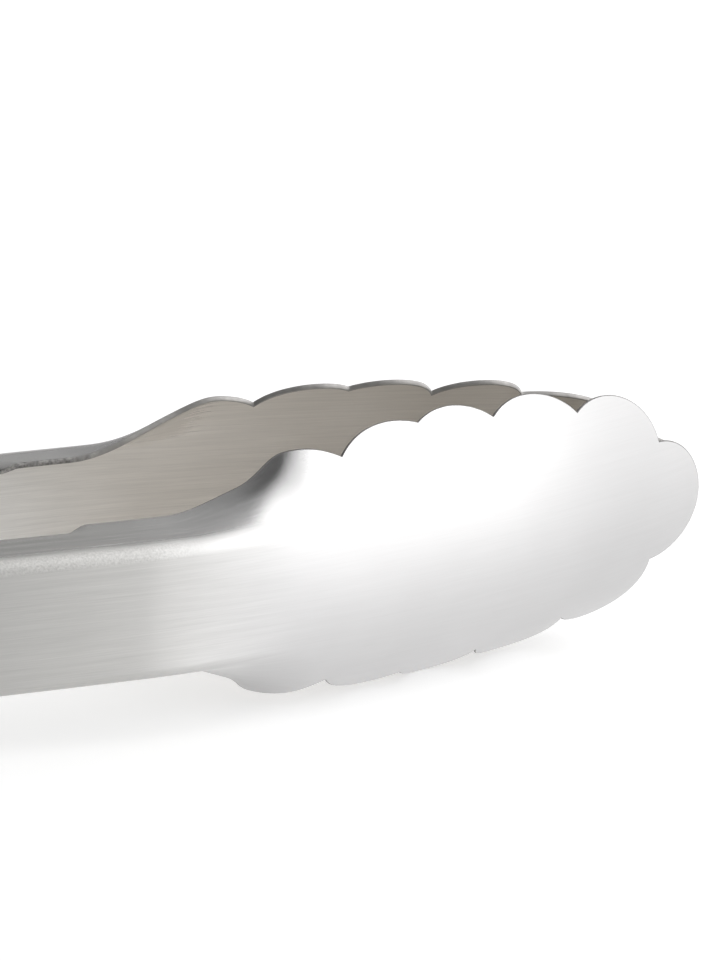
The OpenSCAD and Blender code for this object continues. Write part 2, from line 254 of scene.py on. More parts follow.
def named(name):
    """Name the object that an operator has just added."""
    obj = bpy.context.active_object
    obj.name = name
    obj.data.name = name
    return obj


def add(name, operator, **settings):
    """Add an object with this operator, under this name."""
    deselect()
    operator(**settings)
    return named(name)


def coordinates(obj):
    """All vertex positions as rows."""
    flat = np.empty(len(obj.data.vertices) * 3)
    obj.data.vertices.foreach_get("co", flat)
    return flat.reshape(-1, 3)


def move_vertices(obj, points):
    """Put every vertex at its row of points."""
    obj.data.vertices.foreach_set("co", np.asarray(points, float).ravel())
    obj.data.update()


def settle(obj):
    """Take the object's place into its mesh."""
    activate(obj)
    bpy.ops.object.transform_apply(location=True, rotation=True, scale=True)


def modify(obj, kind, **settings):
    """Add a modifier with these settings and apply it."""
    activate(obj)
    modifier = obj.modifiers.new(kind.title(), kind)
    for key, value in settings.items():
        setattr(modifier, key, value)
    bpy.ops.object.modifier_apply(modifier=modifier.name)


def cut(obj, cutter):
    """Cut one mesh out of another and drop the cutter."""
    modify(obj, "BOOLEAN", operation="DIFFERENCE", solver="EXACT", object=cutter)
    bpy.data.objects.remove(cutter)


def join(target, *others):
    """Join meshes into the first one."""
    activate(target)
    for other in others:
        other.select_set(True)
    bpy.ops.object.join()


def smooth_shading(obj, degrees=35):
    """Shade smooth, with edges sharper than the angle left sharp."""
    activate(obj)
    bpy.ops.object.shade_smooth_by_angle(angle=math.radians(degrees))


def dress(obj, *materials):
    """Give the object these materials, in order."""
    obj.data.materials.clear()
    for material in materials:
        obj.data.materials.append(material)


def edit(obj, operator, **settings):
    """Run an operator of edit mode on the whole mesh."""
    activate(obj)
    bpy.ops.object.mode_set(mode="EDIT")
    bpy.ops.mesh.select_all(action="SELECT")
    operator(**settings)
    bpy.ops.object.mode_set(mode="OBJECT")


def merge(obj):
    """Merge the mesh's doubles and make its normals agree."""
    edit(obj, bpy.ops.mesh.remove_doubles, threshold=DOUBLES)
    edit(obj, bpy.ops.mesh.normals_make_consistent, inside=False)


def formed_sheet(name, rows, columns, form):
    """A grid of rows by columns, shaped by form(row, column) and with its doubles merged."""
    obj = add(name, bpy.ops.mesh.primitive_grid_add, x_subdivisions=rows - 1, y_subdivisions=columns - 1,
              size=2.0)
    flat = coordinates(obj)
    row = np.rint((flat[:, 0] + 1) / 2 * (rows - 1)).astype(int)
    column = np.rint((flat[:, 1] + 1) / 2 * (columns - 1)).astype(int)
    points, run = form(row, column)
    move_vertices(obj, points)
    loops = np.empty(len(obj.data.loops), int)
    obj.data.loops.foreach_get("vertex_index", loops)
    obj.data.uv_layers.active.data.foreach_set("uv", run[loops].ravel())
    merge(obj)
    return obj


def face_outwards(obj, outward):
    """Turn an open sheet round if more of it faces against outward(face centre) than along it."""
    facing = sum(face.normal.dot(outward(face.center)) * face.area for face in obj.data.polygons)
    if facing < 0:
        edit(obj, bpy.ops.mesh.flip_normals)


def mirror(obj, axis):
    """Mirror the mesh across the plane through the origin that is square to this axis."""
    points = coordinates(obj)
    points[:, axis] *= -1
    move_vertices(obj, points)
    edit(obj, bpy.ops.mesh.flip_normals)


def round_edges(obj, width, **settings):
    """Round the mesh's sharp edges."""
    modify(obj, "BEVEL", width=width, segments=2, limit_method="ANGLE", angle_limit=math.radians(50),
           **settings)


def cylinder(name, radius, depth, place, vertices=64):
    """A capped cylinder along Z."""
    obj = add(name, bpy.ops.mesh.primitive_cylinder_add, vertices=vertices, radius=radius, depth=depth,
              location=place)
    settle(obj)
    return obj


def plate(name, outline, low, high):
    """A flat plate with this outline between two heights."""
    obj = add(name, bpy.ops.mesh.primitive_circle_add, vertices=len(outline), radius=1.0, fill_type="NGON")
    move_vertices(obj, [(x, y, low) for x, y in outline])
    edit(obj, bpy.ops.mesh.extrude_region_move, TRANSFORM_OT_translate={"value": (0, 0, high - low)})
    merge(obj)
    return obj


def place_on_pin(obj):
    """Move a mesh that was made about the origin to the rivet."""
    move_vertices(obj, coordinates(obj) + np.array(PIN))


# Shape of the arms


def smooth_share(u):
    """An even ramp from 0 to 1."""
    w = np.clip(u, 0, 1)
    return w * w * (3 - 2 * w)


def even(start, end, count):
    """Evenly spaced values that leave out the start and reach the end."""
    return np.linspace(start, end, count + 1)[1:]


def arc_points(start, end, rise, count, part=1.0):
    """Points on an arc over a chord, without the first."""
    start, end = np.array(start), np.array(end)
    chord = np.linalg.norm(end - start)
    side = np.array([start[1] - end[1], end[0] - start[0]]) / chord
    height = rise * chord
    radius = (chord**2 / 4 + height**2) / (2 * height)
    centre = (start + end) / 2 - (radius - height) * side
    first = math.atan2(*(start - centre)[::-1])
    last = math.atan2(*(end - centre)[::-1])
    turn = first + (last - first) * part * np.arange(1, count + 1) / count
    return centre + radius * np.stack([np.cos(turn), np.sin(turn)], 1)


class ArmShape:
    """The formed sheet of an arm, with its outer face outwards along +Y and the rivet at the origin."""

    # Columns of the mesh over half the web, one fold and one flange
    FLAT, FOLD, FLANGE = 8, 8, 22
    # Rows of the mesh over each stretch of the rim
    EAR_ROWS, GRIP_ROWS, STEP_ROWS, NECK_ROWS = 33, 33, 12, 24
    RISE_ROWS, FALL_ROWS, SCALLOP_ROWS, TIP_ROWS = 30, 14, 20, 28
    # Past the rivet: where the nested ears come out to full width, the flanges flare and the edge curls
    NEST_START, NEST_LENGTH = 10.0 * MM, 4.0 * MM
    FLARE_START, FLARE_LENGTH = 15.0 * MM, 35.0 * MM
    CURL_START, CURL_LENGTH = 30.0 * MM, 12.0 * MM
    # Past the neck: where the two halves start to dish, and how far short of the first notch they end
    DISH_START, LOW_DISH_START, DISH_BACK = 5.0 * MM, 2.4 * MM, 3.1 * MM
    # Past the neck: the kink, and the bend that brings the tips together
    KINK_START, KINK_EASE = -0.4 * MM, 1.2 * MM
    BEND_START, BEND_POWER = 0.5 * MM, 1.98
    # Back from the first notch: the crest, its height over that notch, and the start of the rise up to it
    CREST_BACK, CREST_OVER = 8.7 * MM, 2.4 * MM
    RISE_BACK, RISE_POWER = 16.5 * MM, 1.3
    # Turning rate below which a stretch counts as straight, and a nudge that tells the two halves apart
    STRAIGHT, NUDGE = 0.1, 1e-9

    def __init__(self, arm, head, hinge, nested):
        self.arm, self.head, self.hinge = arm, head, hinge
        self.open = arm.far_deep if nested else arm.deep
        self.nest = arm.sheet + hinge.side_gap if nested else 0.0
        self.turn = 2 * math.asin((arm.neck_half - arm.hinge_half) / arm.bow) - arm.spread
        self.radius = arm.bow / (self.turn - arm.spread)
        self.centre = np.array([self.radius * math.sin(self.turn),
                                arm.hinge_half - self.radius * math.cos(self.turn)])
        self.neck = self.centre + self.radius * np.array([-math.sin(arm.spread), math.cos(arm.spread)])
        self.flat = arm.width / 2 - arm.fold
        self.fold = arm.fold * math.pi / 2
        self.channel = self.half(arm.neck_flange)
        self.ear_x = -arm.hinge_half * math.sin(self.turn) - arm.bow
        level = (0.0,) * 6
        self.rows = self.outline(level, level, head.rises)
        self.low = self.high = self.rows
        if nested:
            self.high = self.outline(head.far_ahead, head.far_wider, head.far_rises, head.far_start)
        else:
            self.low = self.outline(head.low_ahead, head.low_wider, head.low_rises)
        self.tip_x = self.rows[-1, 0]
        self.fan_x = head.neck + head.first_step + head.second_step + head.long_step * 4 / 3
        tip_face = arm.sheet + head.gap / 2
        self.drop = (self.neck[1] + self.tip_x * math.sin(arm.spread) - tip_face) / math.cos(arm.spread)
        self.drop -= arm.kink * self.past_kink(self.tip_x)

    def past_kink(self, x):
        """Distance past the kink at the neck, eased in."""
        past = x - self.KINK_START
        return (past + np.hypot(past, self.KINK_EASE)) / 2

    def half(self, depth):
        """Half width along the section for a flange of this depth."""
        return self.flat + self.fold + depth - self.arm.fold

    def outline(self, ahead, wider, rises, start=0.0):
        """Rows of the mesh along one rim: distance past the neck and half width along the section."""
        arm, head, hinge = self.arm, self.head, self.hinge
        grip, deep = self.half(arm.grip_flange), self.channel
        swing = np.linspace(math.pi, 0, self.EAR_ROWS)
        ear_depth = arm.hinge_half * math.cos(self.turn) + hinge.ear * np.sin(swing)
        ears = np.stack([self.ear_x + hinge.ear * np.cos(swing),
                         self.half(np.maximum(arm.grip_flange, ear_depth))], 1)
        step_x = -self.open - arm.step
        grips = np.stack([even(ears[-1, 0], step_x, self.GRIP_ROWS), np.full(self.GRIP_ROWS, grip)], 1)
        u = even(0, 1, self.STEP_ROWS)
        steps = np.stack([step_x + arm.step * u, grip + (deep - grip) * smooth_share(u)], 1)
        rise_x = head.neck - self.RISE_BACK + start
        necks = np.stack([even(steps[-1, 0], rise_x, self.NECK_ROWS), np.full(self.NECK_ROWS, deep)], 1)
        crest, notches, tip_x = self.corners(ahead, wider)
        u = even(0, 1, self.RISE_ROWS)
        rises_up = np.stack([rise_x + (crest[0] - rise_x) * u,
                             deep + (crest[1] - deep) * smooth_share(u) ** self.RISE_POWER], 1)
        run, fall = notches[0] - crest
        fall_r = (run**2 + fall**2) / (-2 * fall)
        x = run * even(0, 1, self.FALL_ROWS)
        falls = np.stack([crest[0] + x, crest[1] - fall_r + np.sqrt(fall_r**2 - x**2)], 1)
        lobes = [arc_points(*ends, rise, self.SCALLOP_ROWS)
                 for *ends, rise in zip(notches, notches[1:], rises)]
        tip_rise = (tip_x - notches[4, 0]) / (2 * notches[4, 1])
        tip = arc_points(notches[4], notches[4] * [1, -1], tip_rise, self.TIP_ROWS, 0.5)
        tip[-1, 1] = 0
        return np.vstack([ears, grips, steps, necks, rises_up, falls, *lobes, tip])

    def corners(self, ahead, wider):
        """The crest and the five notches of a rim after its shifts, and where every rim's tip ends."""
        head = self.head
        crest = [head.neck - self.CREST_BACK, head.first_half + self.CREST_OVER]
        places = np.cumsum([head.neck, head.first_step, head.second_step, head.long_step, head.long_step])
        halves = [head.first_half, head.wide_half, head.third_half, head.fourth_half, head.tip_half]
        points = np.vstack([crest, np.stack([places, halves], 1)]) + np.stack([ahead, wider], 1)
        return points[0], points[1:], places[4] + 2 * head.tip_half * head.tip_rise

    def section(self, dish, v, flat, x, edge):
        """How far a section reaches across and down at v, with its edge curled from edge outwards."""
        past_rivet = x + self.arm.bow
        square = math.pi / 2 - self.arm.flare * smooth_share((past_rivet - self.FLARE_START)
                                                             / self.FLARE_LENGTH)
        curled = (smooth_share((past_rivet - self.CURL_START) / self.CURL_LENGTH)
                  * (1 - smooth_share((x + self.open + self.arm.step) / self.arm.step)))
        curl = dish / self.head.dish
        bend = curl + (1 - dish) * square / self.fold
        flange = edge - flat - self.fold
        # Turning rate, run as far as v and full length of the web, the fold, the flange and the curled edge
        stretches = ((curl, np.minimum(v, flat), flat),
                     (bend, np.clip(v - flat, 0, self.fold), self.fold),
                     (curl, np.clip(v - flat - self.fold, 0, flange), flange),
                     (curl + curled / self.arm.curl_radius, np.maximum(0, v - edge), 0.0))
        across, down, start = 0.0, 0.0, 0.0 * x
        for rate, run, full in stretches:
            steady = np.where(np.abs(rate) < self.STRAIGHT, self.STRAIGHT, rate)
            end = start + steady * run
            across = across + (np.sin(end) - np.sin(start)) / steady
            down = down + (np.cos(start) - np.cos(end)) / steady
            start = start + rate * full
        return across, down

    def face(self, x, v, nest, edge):
        """Points of the outer face, at distances x past the neck and v along the section."""
        start = np.where(v > 0, self.DISH_START, self.LOW_DISH_START)
        dish = smooth_share((x - start) / (self.head.neck - self.DISH_BACK - start))
        across, down = self.section(dish, np.abs(v), self.flat - nest, x, edge)
        reach = np.maximum(0, x - self.BEND_START) / (self.tip_x - self.BEND_START)
        out = -self.drop * reach**self.BEND_POWER - self.arm.kink * self.past_kink(x) - down
        a = self.turn - (self.arm.bow + x) / self.radius
        bowed = self.centre + (self.radius + out)[:, None] * np.stack([-np.sin(a), np.cos(a)], 1)
        spread = self.arm.spread
        ahead = np.array([math.cos(spread), math.sin(spread)])
        outward = np.array([-math.sin(spread), math.cos(spread)])
        straight = self.neck + x[:, None] * ahead + out[:, None] * outward
        place = np.where((x < 0)[:, None], bowed, straight)
        return np.stack([place[:, 0], place[:, 1], np.sign(v) * across], 1)

    def form(self, row, column):
        """Where each vertex of the grid goes, and its run along and across the sheet."""
        middle = self.FLAT + self.FOLD + self.FLANGE
        upper = column > middle
        x_rim, half = np.where(upper[:, None], self.high[row], self.low[row]).T
        nest = self.nest * (1 - smooth_share((x_rim + self.arm.bow - self.NEST_START) / self.NEST_LENGTH))
        flat = self.flat - nest
        # Shares of the flat, the fold and the flange that each column has behind it
        k = np.abs(column - middle)
        in_flat = np.minimum(k, self.FLAT) / self.FLAT
        in_fold = self.fold * np.clip(k - self.FLAT, 0, self.FOLD) / self.FOLD
        out = np.maximum(0, k - self.FLAT - self.FOLD) / self.FLANGE
        # Along the arm the web and the fold keep their widths. In the head every column widens with the rim
        channel = flat * in_flat + in_fold + (half - self.flat - self.fold) * out
        part = (self.flat * in_flat + in_fold + (self.channel - self.flat - self.fold) * out) / self.channel
        v = np.where(x_rim > 0, half * part, channel)
        # The rows fan out from one place near the tip, and the rear edge leans in from the ears to the web
        fan = np.minimum(self.rows[row, 0], self.fan_x)
        x = fan + (x_rim - fan) * part
        lean = (self.arm.rear + self.arm.bow + self.ear_x) / self.hinge.ear
        slant = lean + (1 - lean) * smooth_share(out * (half - self.flat) / self.arm.hinge_half)
        x = np.where(x_rim < self.ear_x, self.ear_x + (x_rim - self.ear_x) * slant, x)
        sign = np.where(upper, 1.0, -1.0)
        edge = np.maximum(half - nest - self.arm.curl, flat + self.fold)
        points = self.face(x, sign * (v + self.NUDGE), nest, edge)
        return points, np.stack([x, sign * v], 1)


# Materials


def new_material(name):
    """An empty node material, with its tree and its shader."""
    material = bpy.data.materials.new(name)
    material.use_nodes = True
    tree = material.node_tree
    return material, tree, tree.nodes["Principled BSDF"]


def set_up(node, **settings):
    """Set the node's inputs and its other settings by name, with _ for a space."""
    for key, value in settings.items():
        name = key.replace("_", " ")
        if name in node.inputs:
            node.inputs[name].default_value = value
        else:
            setattr(node, key, value)
    return node


def add_node(tree, kind, **settings):
    """A new shader node of this kind, with these inputs and settings."""
    return set_up(tree.nodes.new(f"ShaderNode{kind}"), **settings)


def link(source, socket):
    """Link an output to an input."""
    socket.id_data.links.new(source, socket)


def split_axes(source):
    """The X and Y of a vector."""
    node = add_node(source.id_data, "SeparateXYZ")
    link(source, node.inputs["Vector"])
    return node.outputs["X"], node.outputs["Y"]


def stretched_noise(source, scale, detail=3.0, rough=0.6):
    """Noise over a coordinate, with its own scale along each axis or one for all."""
    tree = source.id_data
    mapping = add_node(tree, "Mapping", Scale=scale if isinstance(scale, tuple) else (scale,) * 3)
    noise = add_node(tree, "TexNoise", Scale=1.0, Detail=detail, Roughness=rough)
    link(source, mapping.inputs["Vector"])
    link(mapping.outputs["Vector"], noise.inputs["Vector"])
    return noise.outputs["Fac"]


def ranged(source, low, high, start=0.3, end=0.7, blend="LINEAR"):
    """A value that goes from low to high while the source goes from start to end."""
    node = add_node(source.id_data, "MapRange", interpolation_type=blend,
                    From_Min=start, From_Max=end, To_Min=low, To_Max=high)
    link(source, node.inputs["Value"])
    return node.outputs["Result"]


def eased(source, start, end):
    """A value that goes smoothly from 0 at start to 1 at end, which may lie either way."""
    if start <= end:
        return ranged(source, 0.0, 1.0, start, end, "SMOOTHSTEP")
    return ranged(source, 1.0, 0.0, end, start, "SMOOTHSTEP")


def total(first, second, operation="ADD"):
    """The sum of a value and another value or number."""
    node = add_node(first.id_data, "Math", operation=operation)
    link(first, node.inputs[0])
    if isinstance(second, float):
        node.inputs[1].default_value = second
    else:
        link(second, node.inputs[1])
    return node.outputs["Value"]


def product(first, second):
    """The product of a value and another value or number."""
    return total(first, second, "MULTIPLY")


def calmed(noise, where, amount):
    """Noise that is drawn in to its middle where asked."""
    kept = total(product(where, -amount), 1.0)
    return total(product(noise, kept), product(where, amount / 2))


def tinted(base, factor):
    """A colour times a value."""
    node = add_node(factor.id_data, "VectorMath", operation="SCALE")
    node.inputs[0].default_value = base
    link(factor, node.inputs["Scale"])
    return node.outputs["Vector"]


def mixed(part, a, b, data_type="RGBA", kind="Color"):
    """One colour or value fading into another."""
    node = add_node(part.id_data, "Mix", data_type=data_type)
    sockets = {socket.identifier: socket for socket in (*node.inputs, *node.outputs)}
    for source, name in ((part, "Factor_Float"), (a, f"A_{kind}"), (b, f"B_{kind}")):
        link(source, sockets[name])
    return sockets[f"Result_{kind}"]


def bumped(shader, height, strength, distance):
    """Bump on the shader from a height."""
    bump = add_node(shader.id_data, "Bump", Strength=strength, Distance=distance)
    link(height, bump.inputs["Height"])
    link(bump.outputs["Normal"], shader.inputs["Normal"])


def brushed_sheet(name, finish, arm, base, grip_painted_base, sheen, brushed, calm):
    """Stainless sheet brushed lengthwise: base on the head and the grip's base, a painted tone, on the grip
    (painted shade on the outer side, painted fill light on the inner side), sheen for how metallic, brushed
    for how far its highlights stretch, and calm for how far the streaks fade on the head."""
    material, tree, shader = new_material(name)
    run = add_node(tree, "UVMap").outputs["UV"]
    place = add_node(tree, "TexCoord").outputs["Object"]
    along, across = split_axes(run)
    # The upper fold and the flange past it. Both masks end where the channel opens into the head
    start = arm.width / 2 - arm.fold
    end = start + arm.fold * math.pi / 2
    top = product(eased(across, end - 0.4 * MM, end + 1.2 * MM), eased(along, 36 * MM, 20 * MM))
    fold = product(eased(across, start - 0.2 * MM, start + 0.6 * MM),
                   eased(across, end + 0.2 * MM, end - 0.6 * MM))
    fold = product(fold, eased(along, 9 * MM, 0.0))
    # Fine and broad brush streaks, faint clouds and the grain of the fold
    on_head = eased(along, 5 * MM, 30 * MM)
    fine = stretched_noise(run, (90.0, 1.0 / finish.streak, 1.0), 4.0, 0.7)
    fine = calmed(fine, on_head, 0.8 * calm)
    broad = stretched_noise(run, (42.0, 0.22 / finish.streak, 1.0), 4.0, 0.65)
    broad = calmed(broad, on_head, calm)
    cloud = stretched_noise(place, 38.0, 2.0)
    grain = stretched_noise(place, 3400.0, 2.0)
    streaks = product(ranged(fine, 0.92, 1.05), ranged(broad, 0.93, 1.06))
    tone = total(product(streaks, ranged(cloud, 0.97, 1.03)), product(ranged(grain, -0.13, 0.13), fold))
    # Along the grip the colour turns to the grip's painted tone: painted shade on the outer side, painted
    # fill light on the inner side
    painted_grip = eased(along, 25 * MM, -12 * MM)
    link(mixed(painted_grip, tinted(base, tone), tinted(grip_painted_base, tone)), shader.inputs["Base Color"])
    gloss = total(ranged(fine, -0.04, 0.04), ranged(broad, finish.rough - 0.03, finish.rough + 0.03))
    link(total(gloss, product(top, -finish.burnish)), shader.inputs["Roughness"])
    relief = total(total(fine, broad), product(product(grain, fold), finish.grain))
    bumped(shader, relief, 0.12, 0.02 * MM)
    tangent = add_node(tree, "Tangent", direction_type="UV_MAP")
    link(tangent.outputs["Tangent"], shader.inputs["Tangent"])
    set_up(shader, Metallic=sheen, Anisotropic=brushed, Anisotropic_Rotation=0.25)
    return material


def sheared_edge(name, finish, low, high, gloss):
    """Raw edge of the sheet: torn along the flanges, and round the heads painted an even tone from low to
    high, a painted highlight where that is light and painted shade where it is dark.
    """
    material, tree, shader = new_material(name)
    place = add_node(tree, "TexCoord").outputs["Object"]
    # Round the heads the torn tone gives way to painted light and shade, not the edge's own colour
    neck_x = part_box("near_arm")[1].x - finish.painted
    on_head = eased(split_axes(place)[0], neck_x, neck_x + 12 * MM)
    tears = stretched_noise(place, 1500.0, 3.0, 0.75)
    patches = stretched_noise(place, 420.0, 2.0)
    torn = product(ranged(tears, 0.15, 1.3), ranged(patches, 0.6, 1.3))
    tone = mixed(on_head, torn, ranged(patches, low, high), "FLOAT", "Float")
    link(tinted(finish.sheared, tone), shader.inputs["Base Color"])
    link(ranged(tears, 0.34, 0.6), shader.inputs["Roughness"])
    bumped(shader, tears, 0.5, 0.08 * MM)
    set_up(shader, Specular_IOR_Level=gloss, Metallic=0.6 * gloss)
    return material


def bright_steel(name, base, rough):
    """Turned or drawn steel with faint rings and stains."""
    material, tree, shader = new_material(name)
    place = add_node(tree, "TexCoord").outputs["Object"]
    rings = stretched_noise(place, (500.0, 500.0, 4200.0))
    stains = stretched_noise(place, 260.0)
    tone = product(ranged(rings, 0.93, 1.05), ranged(stains, 0.93, 1.05))
    link(tinted(base, tone), shader.inputs["Base Color"])
    link(ranged(stains, rough - 0.06, rough + 0.08), shader.inputs["Roughness"])
    bumped(shader, rings, 0.15, 0.02 * MM)
    set_up(shader, Metallic=1.0)
    return material


def finishes(context):
    """The materials, made once."""
    scene = context.scene
    finish, arm = scene.tongs_finish, scene.tongs_arm
    makers = {
        # The grip's tone is painted: darker on the outer side as painted shade, lighter on the inner side as
        # painted fill light
        "Brushed sheet": (brushed_sheet, finish, arm, finish.steel, finish.grip, 1.0, 1.0, 0.75),
        "Brushed inside": (brushed_sheet, finish, arm, finish.inside, finish.channel, 0.35, 0.8, 0.0),
        # Round the heads the far arm's edge is painted lighter as a painted highlight, and the near arm's
        # edge darker as painted shade; along the flanges both are torn alike
        "Sheared edge": (sheared_edge, finish, 0.9, 1.25, 0.5),
        "Dark edge": (sheared_edge, finish, 0.35, 0.55, 0.4),
        "Bright steel": (bright_steel, finish.bright, 0.22),
        "Spring wire": (bright_steel, finish.wire, 0.3),
    }
    return {name: bpy.data.materials.get(name) or make(name, *settings)
            for name, (make, *settings) in makers.items()}


# Operators


def add_hooks(obj, arm, hinge, height, rim, face):
    """Join the two hooks of an arm's ears to it, with their outer faces at this height."""
    # The hooks stay this far inside the faces of the ears
    shy = 0.01 * MM
    hook_out = hinge.hook_in + hinge.hook_width
    nose = hinge.hook_width / 2
    curve = [(hinge.hook_tip + nose * math.sin(t), -hinge.hook_in - nose - nose * math.cos(t))
             for t in np.linspace(0, math.pi, 9)]
    # Where a hook leaves the ear's rim, and where its two sides end inside the ear
    rim_x, rim_y, inner_x, outer_x = (part * hinge.ear for part in (0.35, -0.86, 0.8, 0.6))
    outline = [(rim_x, rim_y), (hinge.hook_root, -hook_out), *curve, (hinge.hook_root, -hinge.hook_in),
               (inner_x, -hinge.hook_in), (outer_x, -hook_out)]
    hooks = []
    for side in (-1, 1):
        heights = sorted((side * (height - shy), side * (height - arm.sheet + shy)))
        hook = plate(f"hook_{side}", outline, *heights)
        round_edges(hook, arm.edge)
        dress(hook, face, rim)
        hooks.append(hook)
    join(obj, *hooks)


def press_arm(context, name, nested):
    """One arm on the +Y side of the rivet: the sheet, its rivet holes and its hooks."""
    scene = context.scene
    arm, head, hinge = scene.tongs_arm, scene.tongs_head, scene.tongs_hinge
    shape = ArmShape(arm, head, hinge, nested)
    columns = 2 * (shape.FLAT + shape.FOLD + shape.FLANGE) + 1
    obj = formed_sheet(name, len(shape.rows), columns, shape.form)
    # Outwards is away from the centre plane on the web, and up or down on the flanges
    face_outwards(obj, lambda place: Vector((0, 0.3, math.copysign(1, place.z))))
    materials = finishes(context)
    # Round its head the near arm's edge is painted dark as painted shade; the far arm's edge is painted light
    # as a painted highlight
    rim = materials["Sheared edge" if nested else "Dark edge"]
    dress(obj, materials["Brushed sheet"], materials["Brushed inside"], rim)
    modify(obj, "SOLIDIFY", thickness=arm.sheet, offset=-1.0, use_even_offset=True,
           material_offset=1, material_offset_rim=2)
    # The bevels take the rim's material, so round the near head they show a thin line of painted shade
    round_edges(obj, arm.edge, use_clamp_overlap=False, material=2)
    cut(obj, cylinder("bore_cutter", hinge.bore, 2 * arm.width, (0, 0, 0)))
    add_hooks(obj, arm, hinge, arm.width / 2 - shape.nest, rim, materials["Brushed sheet"])
    smooth_shading(obj)
    return obj


class TONGS_OT_arms(bpy.types.Operator):
    """Press the two arms out of sheet, each with its scalloped head, ears and hooks"""

    bl_idname = "tongs.arms"
    bl_label = "Arms"
    bl_options = {"REGISTER", "UNDO"}

    def execute(self, context):
        far = press_arm(context, ARM_SHEETS[1], True)
        near = press_arm(context, ARM_SHEETS[0], False)
        mirror(near, 1)
        for obj, body in ((far, "far_arm"), (near, "near_arm")):
            place_on_pin(obj)
            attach(obj, body)
            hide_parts(body)
        return {"FINISHED"}


class TONGS_OT_spring(bpy.types.Operator):
    """Wind the torsion spring: a coil on the bush and a leg against each arm"""

    bl_idname = "tongs.spring"
    bl_label = "Spring"
    bl_options = {"REGISTER", "UNDO"}
    # Points on each turn and on the start of each leg, and how far the legs run on round the coil
    TURN_POINTS, LEG_POINTS, LEG_WRAP = 48, 8, math.radians(22)

    def wire(self, name, points, radius):
        """Round wire of this radius through these points."""
        obj = add(name, bpy.ops.curve.primitive_nurbs_path_add)
        curve = obj.data
        curve.splines.clear()
        spline = curve.splines.new("POLY")
        spline.points.add(len(points) - 1)
        for spline_point, place in zip(spline.points, points):
            spline_point.co = (*place, 1.0)
        curve.dimensions = "3D"
        curve.bevel_depth = radius
        curve.bevel_resolution = 5
        curve.use_fill_caps = True
        activate(obj)
        bpy.ops.object.convert(target="MESH")
        obj = named(name)
        settle(obj)
        merge(obj)
        smooth_shading(obj, 40)
        return obj

    def execute(self, context):
        scene = context.scene
        arm, hinge = scene.tongs_arm, scene.tongs_hinge
        shape = ArmShape(arm, scene.tongs_head, hinge, True)
        web = shape.centre[1] + math.sqrt(shape.radius**2 - (hinge.leg - shape.centre[0]) ** 2)
        leg_y = web - arm.sheet - hinge.wire - hinge.leg_gap
        # Angle from +X at which a leg leaves the coil. The coil stops short of it by half the arms' opening
        leave = math.atan2(leg_y, hinge.leg) + math.acos(hinge.coil / math.hypot(hinge.leg, leg_y))
        whole = 2 * math.pi * hinge.turns
        height = (2 * hinge.wire + hinge.turn_gap) * (whole - 2 * leave) / (4 * math.pi)
        start = leave + HALF_OPENING
        shares = np.linspace(0, 1, self.TURN_POINTS * hinge.turns)
        angles = -start - (whole - 2 * start) * shares
        coil = np.stack([hinge.coil * np.cos(angles), hinge.coil * np.sin(angles),
                         height * (2 * shares - 1)], 1)
        pieces = [(self.wire("spring_coil", coil, hinge.wire), "pivot")]
        for name, side, body in (("spring_leg_near", -1, "near_arm"), ("spring_leg_far", 1, "far_arm")):
            path = [(hinge.coil * math.cos(leave + a), side * hinge.coil * math.sin(leave + a), side * height)
                    for a in np.linspace(self.LEG_WRAP, 0, self.LEG_POINTS)]
            path.append((hinge.leg, side * leg_y, side * height))
            pieces.append((self.wire(name, path, hinge.wire), body))
        for obj, body in pieces:
            place_on_pin(obj)
            dress(obj, finishes(context)["Spring wire"])
            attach(obj, body)
        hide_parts("torsion_spring")
        return {"FINISHED"}


